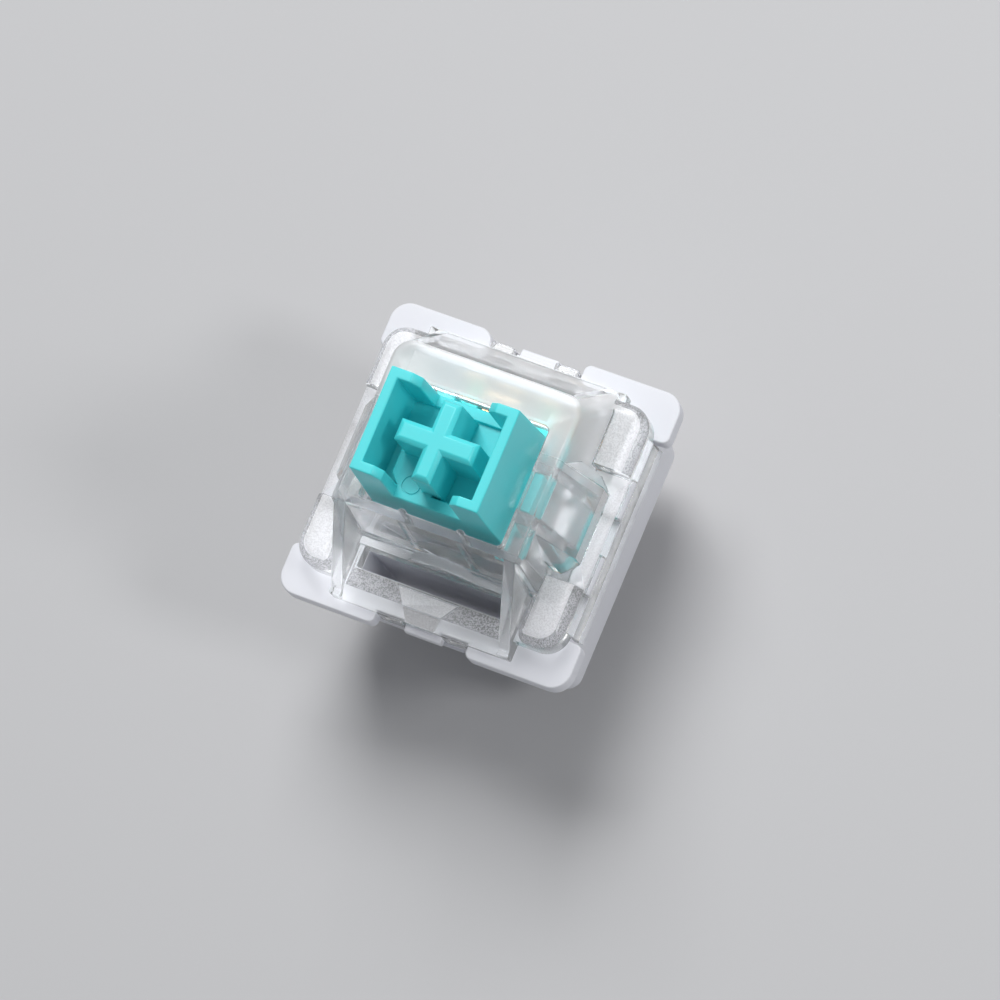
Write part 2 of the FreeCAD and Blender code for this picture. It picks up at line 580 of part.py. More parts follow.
def top_housing():
    body = new_body("top_housing")
    # The cap, with a sloped far face and a nearly upright near wall
    frustum(body, "cap", (ledge_top, ((-s.cap_half, s.cap_half), (-s.cap_near, s.cap_far))),
            (roof_top, ((-s.roof_half, s.roof_half), (-s.roof_near, s.roof_far))))
    dress(body, "cap_corners", "Fillet", s.cap_round,
          lambda e: upright(e, ledge_top, roof_top) and e.CenterOfMass.y > 0)
    dress(body, "roof_edges", "Fillet", s.roof_round,
          lambda e: level(e, roof_top) and e.BoundBox.YMax > s.window_half_y.value)

    # Bulges over the stem's rails, slanted at both ends
    shoulder = ledge_top + s.rail_case_rise
    case_top = roof_top - s.rail_case_drop
    for side in (-1, 1):
        pad(body, "rail_case_%d" % (side + 1), "XZ", (-s.rail_case_half, s.rail_case_half),
            [(x * side, z) for x, z in ((s.cavity_half, case_top), (s.roof_half, case_top),
                                        (s.rail_case_out, shoulder), (s.rail_case_out, flange_top),
                                        (s.cavity_half, flange_top))])

    def case_end(edge):
        middle = edge.CenterOfMass
        outer = (s.roof_half + s.rail_case_slant).value
        flat_end = all(near(abs(vertex.Y), s.rail_case_half.value) for vertex in edge.Vertexes)
        rises = abs(edge.Vertexes[0].Z - edge.Vertexes[-1].Z) > s.rail_case_slant.value
        return flat_end and rises and abs(middle.x) > outer

    dress(body, "rail_case_ends", "Chamfer", s.rail_case_slant, case_end)

    # The foot: corner pads, the middle strip and the aprons
    wing_outer = s.wing_inner + s.wing_thick
    join(body, "foot", top_housing_foot())
    pad(body, "far_strip", "XY", (flange_top, ledge_top),
        rectangle((-s.cap_half, s.cap_half), (zero, s.cap_far)))
    pad(body, "apron", "XY", (flange_top, ledge_top),
        rectangle((-wing_outer, wing_outer), (-apron_end, zero)))

    # Walls beside the lamp recess, and the recess itself
    wing_foot = ledge_top - s.wing_drop
    shelf_top = ledge_top + s.shelf_rise
    pocket(body, "lamp_recess", "XY", (ledge_top, pad_top),
           rectangle((-s.pad_inner, s.pad_inner), (-beyond, -s.cap_near)))
    pad_end = s.pad_round - s.foot_half_y

    def pad_corner(edge):
        sides = [abs(vertex.X) for vertex in edge.Vertexes]
        heights = sorted(vertex.Z for vertex in edge.Vertexes)
        beside_recess = all(near(side, s.pad_inner.value) for side in sides)
        rises = not near(heights[0], heights[-1])
        return beside_recess and rises and edge.CenterOfMass.y < pad_end.value

    dress(body, "pad_corners", "Fillet", s.pad_corner, pad_corner)
    for side in (-1, 1):
        pad(body, "wing_%d" % (side + 1), "YZ", ordered(s.wing_inner * side, wing_outer * side),
            [(-s.window_half_y, flange_top), (-s.window_half_y, roof_top), (-s.roof_near, roof_top),
             (-apron_end, wing_foot), (-apron_end, flange_top)])
    pocket(body, "apron_slant", "YZ", (-s.wing_inner, s.wing_inner),
           [(s.apron_bevel - apron_end, ledge_top), (-apron_end, ledge_top - s.apron_bevel),
            (-beyond, ledge_top - s.apron_bevel), (-beyond, ledge_top)])
    pad(body, "slot_shelf", "XY", (ledge_top, shelf_top),
        rectangle((-s.wing_inner, s.wing_inner), (-s.slot_far, -s.window_half_y)))
    before = body.Shape.Volume
    lens = body.newObject("PartDesign::AdditiveEllipsoid", "light_guide")
    lens.Angle1 = -90
    lens.Angle2 = 90
    lens.Angle3 = 360
    lens.setExpression("Radius1", s.lens_high.text)
    lens.setExpression("Radius2", s.lens_half.text)
    lens.setExpression("Radius3", s.lens_deep.text)
    lens.setExpression("Placement.Base.x", s.lens_offset.text)
    lens.setExpression("Placement.Base.y", (-s.slot_far).text)
    lens.setExpression("Placement.Base.z", shelf_top.text)
    checked(body, lens, before, True)
    pad(body, "frosted_tongue", "XY", (ledge_top - s.tongue_rise, ledge_top + s.tongue_rise),
        [(-s.tongue_wide_half, -s.tongue_first), (-s.tongue_slim_half, -s.tongue_last),
         (s.tongue_slim_half, -s.tongue_last), (s.tongue_wide_half, -s.tongue_first)])
    pocket(body, "lamp_slot", "XY", (flange_top, roof_top),
           rectangle((-s.slot_half, s.slot_half), (-s.slot_near, -s.slot_far)))

    # Room for the works, the stem opening and the guides of the stem's rails
    frustum(body, "works_well",
            (flange_top, ((-s.cavity_half, s.cavity_half), (-s.window_half_y, s.cavity_far_low))),
            (roof_under, ((-s.cavity_half, s.cavity_half), (-s.window_half_y, s.cavity_far_high))), cut=True)
    pocket(body, "stem_window", "XY", (roof_under, roof_top),
           rectangle((-s.window_half_x, s.window_half_x), (-s.window_half_y, s.window_half_y)))
    dress(body, "window_corners", "Fillet", s.window_round,
          lambda e: upright(e, roof_under, roof_top) and at_corner(e, s.window_half_x, s.window_half_y))
    for side in (-1, 1):
        round_pad(body, "near_rib_%d" % (side + 1), "XY", (ledge_top, roof_top),
                  s.lens_offset + s.rib_spread * side, -s.window_half_y - s.rib_sink, s.rib_radius)
    guide_first = s.rail_half + s.guide_gap
    for side in (-1, 1):
        ribs = [rectangle(ordered(s.guide_inner * side, (s.cavity_half + s.snap_gap) * side),
                          ordered(guide_first * end, (guide_first + s.guide_wide) * end)) for end in (-1, 1)]
        pad(body, "rail_guides_%d" % (side + 1), "XY", (flange_top, roof_under), *ribs)

    # The skirt between the ears, the windows that the hooks' noses catch in, the
    # rooms for the hooks' arms, and the steps beside the tabs
    skirt_low = s.seat_height + s.snap_gap
    skirt_in = body_half + s.snap_gap
    skirt_out = skirt_in + s.skirt_thick
    skirt_top = ledge_top - s.skirt_drop
    foot_side = body_half + s.foot_reach
    room = (hook_inner - s.snap_gap, hook_outer + s.snap_gap)
    window_low = hook_top - s.hook_nose_height - s.snap_gap
    window_top = hook_top + s.snap_gap
    step_end = body_half + s.step_reach
    step_top = flange_top + s.step_rise
    step_back = s.cap_far - s.step_rise
    for side in (-1, 1):
        pad(body, "skirt_%d" % (side + 1), "XZ", (-s.skirt_half, s.skirt_half),
            [(x * side, z) for x, z in ((skirt_in, skirt_low), (skirt_out, skirt_low),
                                        (foot_side, skirt_top), (skirt_in, skirt_top))])
        spans = [ordered((s.hook_first - s.snap_gap) * end, (s.hook_last + s.snap_gap) * end)
                 for end in (-1, 1)]
        pocket(body, "hook_rooms_%d" % (side + 1), "XY", (flange_top, window_top),
               *[rectangle(ordered(room[0] * side, room[1] * side), y) for y in spans])
        pocket(body, "hook_windows_%d" % (side + 1), "XY", (window_low, window_top),
               *[rectangle(ordered(hook_outer * side, beyond * side), y) for y in spans])
        for end in (-1, 1):
            step = [(step_back, flange_top), (step_back, step_top), (step_end, step_top),
                    (step_end, skirt_low), (skirt_in, skirt_low), (skirt_in, flange_top)]
            pad(body, "clear_step_%d_%d" % (side + 1, end + 1), "YZ",
                ordered(s.step_first * end, s.step_last * end), [(y * side, z) for y, z in step])

    pocket(body, "bare_panel", "XY", (roof_top - s.panel_sink, roof_top),
           rectangle((-s.panel_left, s.panel_right), (s.panel_near, s.panel_far)))
    return body


def stem():
    body = new_body("stem")
    rim_wall_x = s.stem_rim_x - s.stem_wall
    rim_wall_y = s.stem_rim_y - s.stem_wall
    frustum(body, "box", (stem_foot, ((-s.stem_foot_x, s.stem_foot_x), (-s.stem_foot_y, s.stem_foot_y))),
            (stem_top, ((-s.stem_rim_x, s.stem_rim_x), (-s.stem_rim_y, s.stem_rim_y))))
    pocket(body, "cap_well", "XY", (stem_floor, stem_top),
           rectangle((-rim_wall_x, rim_wall_x), (-rim_wall_y, rim_wall_y)))
    for side, wall_drop in ((-1, s.near_wall_drop), (1, s.far_wall_drop)):
        wall_top = stem_top - wall_drop
        # The gap between the turned-in ends, wider at the rim by their bevel
        pocket(body, "wall_gap_%d" % (side + 1), "XZ", ordered(rim_wall_y * side, s.stem_foot_y * side),
               [(-s.return_end, wall_top), (s.return_end, wall_top),
                (s.return_end, stem_top - s.return_bevel), (s.return_end + s.return_bevel, stem_top),
                (-s.return_end - s.return_bevel, stem_top), (-s.return_end, stem_top - s.return_bevel)])
    plateau_top = stem_top - s.near_wall_drop
    pad(body, "plateau", "XY", (stem_floor, plateau_top),
        [(zero, -s.plateau_far), (-s.plateau_half, -s.plateau_far),
         (-s.plateau_half, s.plateau_cut - rim_wall_y), (s.plateau_cut - s.plateau_half, -rim_wall_y),
         (zero, -rim_wall_y)])
    cross_top = stem_top - s.cross_drop
    pole_low = floor_top + s.collar_height - s.pole_reach
    pad(body, "cross_arm_x", "XY", (stem_floor, cross_top),
        rectangle((-s.cross_half, s.cross_half), (-s.cross_arm_x / 2, s.cross_arm_x / 2)))
    pad(body, "cross_arm_y", "XY", (stem_floor, cross_top),
        rectangle((-s.cross_arm_y / 2, s.cross_arm_y / 2), (-s.cross_half, s.cross_half)))
    dress(body, "cross_edges", "Chamfer", s.cross_bevel, lambda e: level(e, cross_top))
    mark_low = plateau_top - s.mark_depth
    round_pocket(body, "ring_mark", "XY", (mark_low, plateau_top), -s.mark_x, -s.mark_y, s.mark_radius)
    round_pad(body, "mark_middle", "XY", (mark_low, plateau_top), -s.mark_x, -s.mark_y,
              s.mark_radius - s.mark_width)
    round_pocket(body, "spring_hollow", "XY", (stem_foot, stem_ceiling), zero, zero, s.spring_well)
    round_pad(body, "pole", "XY", (pole_low, stem_floor), zero, zero, s.pole_radius)
    dress(body, "pole_lead_in", "Chamfer", s.pole_bevel, lambda e: level(e, pole_low))
    for side in (-1, 1):
        pad(body, "cheek_%d" % (side + 1), "XY", (stem_foot - s.cheek_drop, stem_foot),
            rectangle(ordered(s.cheek_inner * side, s.stem_foot_x * side), (-s.cheek_half, s.cheek_half)))
        rail_inner = s.stem_rim_x
        pad(body, "rail_%d" % (side + 1), "XY", (rail_low, rail_top),
            rectangle(ordered(rail_inner * side, s.rail_out * side), (-s.rail_half, s.rail_half)))
        pad(body, "leg_%d" % (side + 1), "YZ", ordered(s.leg_first * side, s.leg_last * side),
            [(s.leg_inner, rail_top), (s.leg_outer, rail_top), (s.leg_outer, cam_top + s.cam_rise),
             (s.cam_out, cam_top), (s.cam_out, rail_low + s.leg_bevel), (s.cam_out - s.leg_bevel, rail_low),
             (s.leg_inner + s.leg_bevel, rail_low), (s.leg_inner, rail_low + s.leg_bevel)])
    return body


WIRE_SIDES = 6


# A coil between the floor and the stem, ground flat at both ends
def return_spring():
    low = floor_top
    height = stem_ceiling - low
    helix = doc.addObject("Part::Helix", "spring_path")
    helix.setExpression("Pitch", (height / s.spring_turns).text)
    helix.setExpression("Height", height.text)
    helix.setExpression("Radius", s.spring_radius.text)
    helix.setExpression("Placement.Base.z", low.text)
    section = doc.addObject("Part::RegularPolygon", "spring_section")
    section.Polygon = WIRE_SIDES
    section.setExpression("Circumradius", (s.spring_wire / 2).text)
    section.Placement = FreeCAD.Placement(FreeCAD.Vector(), FreeCAD.Rotation(FreeCAD.Vector(1, 0, 0), 90))
    section.setExpression("Placement.Base.x", s.spring_radius.text)
    section.setExpression("Placement.Base.z", low.text)
    coil = doc.addObject("Part::Sweep", "spring_coil")
    coil.Sections = [section]
    doc.recompute()
    coil.Spine = (helix, ["Edge%d" % (i + 1) for i in range(len(helix.Shape.Edges))])
    coil.Solid = True
    coil.Frenet = True
    envelope = doc.addObject("Part::Cylinder", "spring_envelope")
    envelope.setExpression("Radius", (s.spring_radius + s.spring_wire).text)
    envelope.setExpression("Height", height.text)
    envelope.setExpression("Placement.Base.z", low.text)
    spring = doc.addObject("Part::Common", "return_spring")
    spring.Base = coil
    spring.Tool = envelope
    spring.Label = "return_spring"
    return spring


def fixed_contact_terminal():
    body = new_body("fixed_contact_terminal")
    near_face = s.fixed_plate_y
    far_face = s.fixed_plate_y + s.sheet_thick
    left = s.fixed_pin_x - s.sheet_thick / 2
    right = s.fixed_pin_x + s.sheet_thick / 2
    strip_low = floor_top + s.fixed_strip_rise
    strip_top = strip_low + s.fixed_strip_wide
    tongue_top = point_height + s.fixed_tongue_rise
    pin_low = -s.post_length
    pin_near = s.fixed_pin_y - s.pin_half
    pin_far = s.fixed_pin_y + s.pin_half
    # The side plate and the pin under it, cut from one flat
    pad(body, "side_plate", "YZ", (left, right),
        [(pin_near, strip_low), (pin_near, pin_low + s.pin_point), (pin_near + s.pin_point, pin_low),
         (pin_far - s.pin_point, pin_low), (pin_far, pin_low + s.pin_point), (pin_far, strip_low),
         (far_face, strip_low), (far_face, strip_top), (pin_near, strip_top)])
    pad(body, "front_plate", "XZ", (near_face, far_face),
        [(left, strip_low), (s.fixed_tongue_half, strip_low),
         (s.fixed_tongue_half, tongue_top), (-s.fixed_tongue_half, tongue_top),
         (-s.fixed_tongue_half, strip_top), (left, strip_top)])
    dress(body, "bend", "Fillet", s.sheet_thick,
          lambda e: upright(e, strip_low, strip_top)
          and near(e.CenterOfMass.x, left.value) and near(e.CenterOfMass.y, far_face.value))
    return body


def moving_contact_terminal():
    body = new_body("moving_contact_terminal")
    half_sheet = s.sheet_thick / 2
    pin_left = s.moving_pin_x - s.pin_half
    pin_right = s.moving_pin_x + s.pin_half
    plate_left = s.moving_pin_x - s.terminal_half
    plate_right = s.moving_pin_x + s.terminal_half
    plate_top = floor_top + s.terminal_rise
    pin_low = -s.post_length
    pad(body, "plate_and_pin", "XZ", (s.moving_pin_y - half_sheet, s.moving_pin_y + half_sheet),
        [(pin_left, floor_top), (pin_left, pin_low + s.pin_point), (pin_left + s.pin_point, pin_low),
         (pin_right - s.pin_point, pin_low), (pin_right, pin_low + s.pin_point), (pin_right, floor_top),
         (plate_right, floor_top), (plate_right, plate_top), (plate_left, plate_top),
         (plate_left, floor_top)])
    return body


leaf_near = s.moving_pin_y + s.sheet_thick / 2 + s.leaf_gap
leaf_far = leaf_near + s.leaf_thick


# A flat spring with a tongue between two arms, each folded into a bump
def moving_contact_leaf():
    body = new_body("moving_contact_leaf")
    foot_left = s.moving_pin_x - s.terminal_half
    arm_top = bump_middle - s.bump_rise
    tongue_top = point_height + s.leaf_tongue_rise
    pad(body, "flat", "XZ", (leaf_near, leaf_far),
        [(foot_left, leaf_low), (s.leaf_arm_last, leaf_low), (s.leaf_arm_last, arm_top),
         (s.leaf_arm_first, arm_top), (s.leaf_arm_first, leaf_strip_top),
         (s.leaf_tongue_half, leaf_strip_top),
         (s.leaf_tongue_half, tongue_top), (-s.leaf_tongue_half, tongue_top),
         (-s.leaf_tongue_half, leaf_strip_top), (-s.leaf_arm_first, leaf_strip_top),
         (-s.leaf_arm_first, arm_top), (-s.leaf_arm_last, arm_top), (-s.leaf_arm_last, leaf_strip_low),
         (foot_left, leaf_strip_low)])
    tip = s.cam_out + s.cam_gap
    inner_tip = tip + s.leaf_thick * 2
    bump = [(leaf_far, arm_top - s.leaf_thick), (leaf_near, arm_top - s.leaf_thick),
            (leaf_near, arm_top), (tip, bump_middle - s.bump_flat), (tip, bump_middle + s.bump_flat),
            (leaf_near, bump_middle + s.bump_rise), (leaf_far, bump_middle + s.bump_rise),
            (leaf_far, bump_middle + s.bump_rise - s.leaf_thick), (inner_tip, bump_middle),
            (leaf_far, arm_top + s.leaf_thick)]
    for side in (-1, 1):
        pad(body, "bump_%d" % (side + 1), "YZ",
            ordered(s.leaf_arm_first * side, s.leaf_arm_last * side), bump)
    return body


def contact_point(node, ends):
    body = new_body(node)
    round_pad(body, "disc", "XZ", ends, zero, point_height, s.point_radius)
    return body


fixed_face = s.fixed_plate_y + s.sheet_thick
nodes = [
    bottom_housing(),
    top_housing(),
    stem(),
    return_spring(),
    fixed_contact_terminal(),
    contact_point("fixed_contact_point", (fixed_face, fixed_face + s.fixed_point_thick)),
    moving_contact_terminal(),
    moving_contact_leaf(),
    contact_point("moving_contact_point", (leaf_near - s.moving_point_thick, leaf_near)),
]
doc.recompute()

for item in doc.Objects:
    if "Invalid" in item.State or "Error" in item.State:
        raise RuntimeError("%s failed: %s" % (item.Name, item.State))
os.makedirs("parts", exist_ok=True)
for node in nodes:
    shape = node.Shape
    if shape.isNull() or not shape.isValid() or len(shape.Solids) != 1:
        raise RuntimeError("bad shape: " + node.Label)
    shape.exportStep("parts/%s.step" % node.Label)
    print("%-26s %8.3f mm3, %d faces" % (node.Label, shape.Volume, len(shape.Faces)))
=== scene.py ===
# A keyboard switch on a plain pale floor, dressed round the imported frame.
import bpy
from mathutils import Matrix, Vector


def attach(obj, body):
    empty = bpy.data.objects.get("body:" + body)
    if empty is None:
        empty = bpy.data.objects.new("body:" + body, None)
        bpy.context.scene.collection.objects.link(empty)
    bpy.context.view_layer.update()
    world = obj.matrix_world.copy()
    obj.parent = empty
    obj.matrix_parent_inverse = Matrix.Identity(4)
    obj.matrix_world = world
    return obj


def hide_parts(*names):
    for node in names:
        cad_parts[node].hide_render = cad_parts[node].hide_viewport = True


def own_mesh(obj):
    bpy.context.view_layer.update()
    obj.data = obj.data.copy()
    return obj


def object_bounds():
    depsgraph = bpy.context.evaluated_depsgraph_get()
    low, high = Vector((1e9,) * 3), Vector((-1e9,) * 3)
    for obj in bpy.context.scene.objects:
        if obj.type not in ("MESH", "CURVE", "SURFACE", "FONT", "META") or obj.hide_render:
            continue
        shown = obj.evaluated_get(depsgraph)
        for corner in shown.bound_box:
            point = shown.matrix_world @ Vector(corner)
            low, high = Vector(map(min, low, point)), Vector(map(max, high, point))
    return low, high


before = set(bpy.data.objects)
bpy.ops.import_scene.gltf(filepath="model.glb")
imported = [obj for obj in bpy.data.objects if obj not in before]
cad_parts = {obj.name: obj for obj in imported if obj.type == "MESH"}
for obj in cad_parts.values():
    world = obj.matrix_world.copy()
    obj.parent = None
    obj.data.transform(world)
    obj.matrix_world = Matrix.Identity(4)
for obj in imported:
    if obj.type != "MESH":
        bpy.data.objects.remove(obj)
CAD_BOX = [list(corner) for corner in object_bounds()]

import math

import bmesh
import bpy
from mathutils import Matrix, Vector

MM = 0.001

# The photograph's view, solved from the corners of the switch
VIEW_TARGET = Vector((-0.83, 1.11, 0.0)) * MM
VIEW_DISTANCE = 300.4 * MM
VIEW_AZIMUTH = 60.71
VIEW_ELEVATION = 69.74
VIEW_ROLL = 39.38
VIEW_LENS = 219.0
SENSOR_WIDTH = 36.0

# The floor lies just under the pins
FLOOR_GAP = 0.02 * MM
FLOOR_HEIGHT = CAD_BOX[0][2] - FLOOR_GAP
FLOOR_SIZE = 1.2
FLOOR_COLOUR = (0.55, 0.55, 0.56)
SKY_COLOUR = (0.9, 0.92, 0.95)
SKY_STRENGTH = 0.29

# How widely the moulds round the edges of each kind of part
CASE_EDGE = 0.07 * MM
CLEAR_EDGE = 0.06 * MM
STEM_EDGE = 0.06 * MM
METAL_EDGE = 0.02 * MM

# What counts as an edge, as one flat face, as one point and as facing up
EDGE_ANGLE = math.radians(32)
FLAT_ANGLE = math.radians(3)
JOIN_ANGLE = math.radians(0.2)
SAME_POINT = 0.0005 * MM
TOUCHING = 0.0001 * MM
FACING_UP = 0.9

# How much of the room beside an edge its rounding may take, and where along
# the edge that room is measured
ROOM_SHARE = 0.42
FACET_ROOM = 2.2
LEAST_ROOM = 0.09 * MM
MIDDLE = 0.5
PLACES_ALONG = (0.03, MIDDLE, 0.97)

# How far the lower case and the contacts draw back from what they touch
AIR_GAP = 0.008 * MM

# Traits of the plastics: how clear plastic bends light, from where to where
# along Y the roof grows hazy, how many layers the noise has and which of its
# levels give dark and pale specks, and how deep light soaks in
CLEAR_IOR = 1.42
HAZE_FIRST = 0.8 * MM
HAZE_LAST = 3.2 * MM
NOISE_DETAIL = 2.0
DARK_SPECKS = 0.38
PALE_SPECKS = 0.62
SOFT_DEPTH = 0.6 * MM

# Where one finish meets another on the clear housing, in millimetres
RECESS_HALF = 4.15
RECESS_FAR = -3.0
STRIP_FAR = -5.55
TONGUE_LOW = 7.1
GUIDE_FAR = -3.2
GUIDE_LOW = 6.98
GUIDE_HIGH = 8.3
INSIDE_HALF = 4.6
INSIDE_NEAR = -3.2
INSIDE_FAR = 6.25
INSIDE_HIGH = 11.4
PAD_INNER_X = 4.9
PAD_INNER_Y = 2.9
PAD_LOW = 7.15
PAD_HIGH = 7.85
BULGE_INNER_X = 6.3
BULGE_HALF = 2.2
BULGE_LOW = 7.0
BULGE_HIGH = 8.15
SKIRT_HIGH = 6.92

# Where the frosted tongue bends down over the near edge
TONGUE_START = Vector((0, -6.65, 7.0)) * MM
TONGUE_HALF = 1.0 * MM
TONGUE_END_HALF = 0.75 * MM
TONGUE_LENGTH = 0.8 * MM
TONGUE_LIFT = 0.03 * MM

# The return spring: closed coils at both ends and open ones between
SPRING_LOW = 1.2 * MM
SPRING_TOP = 10.6 * MM
SPRING_RADIUS = 1.95 * MM
WIRE_RADIUS = 0.15 * MM
OPEN_TURNS = 10
CLOSED_TURNS = 1.4
STEPS_PER_TURN = 40
WIRE_SIDES = 10
CLOSED_PITCH = 1.02
WIRE_END_ANGLE = math.radians(60)


def add_camera():
    data = bpy.data.cameras.new("photo_camera")
    data.lens = VIEW_LENS
    data.sensor_width = SENSOR_WIDTH
    data.clip_start = 0.01
    data.clip_end = 10.0
    camera = bpy.data.objects.new("photo_camera", data)
    bpy.context.scene.collection.objects.link(camera)
    azimuth = math.radians(VIEW_AZIMUTH)
    elevation = math.radians(VIEW_ELEVATION)
    towards_camera = Vector((
        math.cos(elevation) * math.sin(azimuth),
        -math.cos(elevation) * math.cos(azimuth),
        math.sin(elevation),
    ))
    level_view = (-towards_camera).to_track_quat("-Z", "Y").to_matrix().to_4x4()
    roll = Matrix.Rotation(math.radians(-VIEW_ROLL), 4, "Z")
    camera.matrix_world = Matrix.Translation(VIEW_TARGET + towards_camera * VIEW_DISTANCE) @ level_view @ roll
    bpy.context.scene.camera = camera


def new_material(name):
    material = bpy.data.materials.new(name)
    material.use_nodes = True
    return material, material.node_tree.nodes, material.node_tree.links


def add_noise(nodes, links, period):
    place = nodes.new("ShaderNodeTexCoord")
    noise = nodes.new("ShaderNodeTexNoise")
    noise.inputs["Scale"].default_value = 1 / period
    noise.inputs["Detail"].default_value = NOISE_DETAIL
    links.new(place.outputs["Object"], noise.inputs["Vector"])
    return noise.outputs["Fac"]


def add_grain(nodes, links, shader, period, height):
    bump = nodes.new("ShaderNodeBump")
    bump.inputs["Strength"].default_value = 1.0
    bump.inputs["Distance"].default_value = height
    links.new(add_noise(nodes, links, period), bump.inputs["Height"])
    links.new(bump.outputs["Normal"], shader.inputs["Normal"])


# Tiny paler and darker specks, as sand-blasting leaves them
def add_specks(nodes, links, shader, colour, period, darkest):
    ramp = nodes.new("ShaderNodeValToRGB")
    ramp.color_ramp.elements[0].position = DARK_SPECKS
    ramp.color_ramp.elements[0].color = (*[channel * darkest for channel in colour], 1)
    ramp.color_ramp.elements[1].position = PALE_SPECKS
    ramp.color_ramp.elements[1].color = (*colour, 1)
    links.new(add_noise(nodes, links, period), ramp.inputs["Fac"])
    links.new(ramp.outputs["Color"], shader.inputs["Base Color"])


def solid_material(name, colour, roughness, metallic=0.0, soft=0.0, soft_colour=(1, 1, 1), grain=None):
    material, nodes, links = new_material(name)
    shader = nodes["Principled BSDF"]
    shader.inputs["Base Color"].default_value = (*colour, 1)
    shader.inputs["Roughness"].default_value = roughness
    shader.inputs["Metallic"].default_value = metallic
    if soft:
        shader.inputs["Subsurface Weight"].default_value = soft
        shader.inputs["Subsurface Radius"].default_value = soft_colour
        shader.inputs["Subsurface Scale"].default_value = SOFT_DEPTH
    if grain:
        add_grain(nodes, links, shader, *grain)
    return material


# Hazier towards the far end, as the photo shows the roof
def add_haze(nodes, links, shader, roughness, clearness):
    place = nodes.new("ShaderNodeTexCoord")
    axes = nodes.new("ShaderNodeSeparateXYZ")
    links.new(place.outputs["Object"], axes.inputs["Vector"])
    for name, (clearest, haziest) in (("Roughness", roughness), ("Transmission Weight", clearness)):
        fade = nodes.new("ShaderNodeMapRange")
        fade.interpolation_type = "SMOOTHSTEP"
        fade.inputs["From Min"].default_value = HAZE_FIRST
        fade.inputs["From Max"].default_value = HAZE_LAST
        fade.inputs["To Min"].default_value = clearest
        fade.inputs["To Max"].default_value = haziest
        links.new(axes.outputs["Y"], fade.inputs["Value"])
        links.new(fade.outputs["Result"], shader.inputs[name])


# Clear plastic; lamps reach what is behind it through a plain grey tint
def clear_material(name, colour, roughness, clearness, tint, grain=None, specks=None, haze=None):
    material, nodes, links = new_material(name)
    shader = nodes["Principled BSDF"]
    shader.inputs["Base Color"].default_value = (*colour, 1)
    shader.inputs["Roughness"].default_value = roughness
    shader.inputs["Transmission Weight"].default_value = clearness
    shader.inputs["IOR"].default_value = CLEAR_IOR
    if grain:
        add_grain(nodes, links, shader, *grain)
    if specks:
        add_specks(nodes, links, shader, colour, *specks)
    if haze:
        add_haze(nodes, links, shader, (roughness, haze[0]), (clearness, haze[1]))
    window = nodes.new("ShaderNodeBsdfTransparent")
    window.inputs["Color"].default_value = (tint, tint, tint, 1)
    path = nodes.new("ShaderNodeLightPath")
    mix = nodes.new("ShaderNodeMixShader")
    links.new(path.outputs["Is Shadow Ray"], mix.inputs["Fac"])
    links.new(shader.outputs["BSDF"], mix.inputs[1])
    links.new(window.outputs["BSDF"], mix.inputs[2])
    links.new(mix.outputs["Shader"], nodes["Material Output"].inputs["Surface"])
    return material


def is_flat(edge):
    return len(edge.link_faces) == 2 and edge.calc_face_angle(0) < FLAT_ANGLE


def is_sharp(edge):
    return len(edge.link_faces) == 2 and edge.calc_face_angle(0) > EDGE_ANGLE


# The flat faces of a solid, each as the set of its triangles
def flat_regions(shape):
    left = set(shape.faces)
    while left:
        region = set()
        spread = [left.pop()]
        while spread:
            face = spread.pop()
            region.add(face)
            beside = {other for edge in face.edges if is_flat(edge) for other in edge.link_faces} & left
            left -= beside
            spread += beside
        yield region


# How far a region reaches inwards from a point on its edge
def way_across(start, inward, along, blocks, edge):
    nearest = math.inf
    for other in blocks:
        if other is edge:
            continue
        first = other.verts[0].co - start
        second = other.verts[1].co - start
        first_along = first.dot(along)
        second_along = second.dot(along)
        if first_along * second_along > 0 or first_along == second_along:
            continue
        share = first_along / (first_along - second_along)
        reach = (first + (second - first) * share).dot(inward)
        if reach > TOUCHING:
            nearest = min(nearest, reach)
    return nearest


# Weighs each sharp edge by the room that its two flat faces leave for rounding.
# A short edge with none rounded beside it stays sharp, as at a shallow panel's corner.
def weigh_edges(shape, width):
    weight = shape.edges.layers.float.new("bevel_weight_edge")
    rooms = {}
    for region in flat_regions(shape):
        outline = [edge for face in region for edge in face.edges
                   if sum(beside in region for beside in edge.link_faces) == 1]
        sharp = [edge for edge in outline if is_sharp(edge)]
        for edge in sharp:
            loop = next(loop for loop in edge.link_loops if loop.face in region)
            first, last = loop.vert.co, loop.link_loop_next.vert.co
            along = (last - first).normalized()
            inward = loop.face.normal.cross(along)
            rooms_along = [way_across(first.lerp(last, share), inward, along, sharp, edge)
                           for share in PLACES_ALONG]
            room_at_middle = rooms_along[PLACES_ALONG.index(MIDDLE)]
            facet_room = way_across(first.lerp(last, MIDDLE), inward, along, outline, edge)
            narrow = room_at_middle < LEAST_ROOM or facet_room < FACET_ROOM * width
            room = 0 if narrow else min(rooms_along)
            rooms[edge] = min(rooms.get(edge, math.inf), room)
    for edge, room in rooms.items():
        beside_rounded = any(rooms.get(other) for corner in edge.verts for other in corner.link_edges
                             if other is not edge)
        if beside_rounded or edge.calc_length() > LEAST_ROOM:
            edge[weight] = min(1, ROOM_SHARE * room / width)


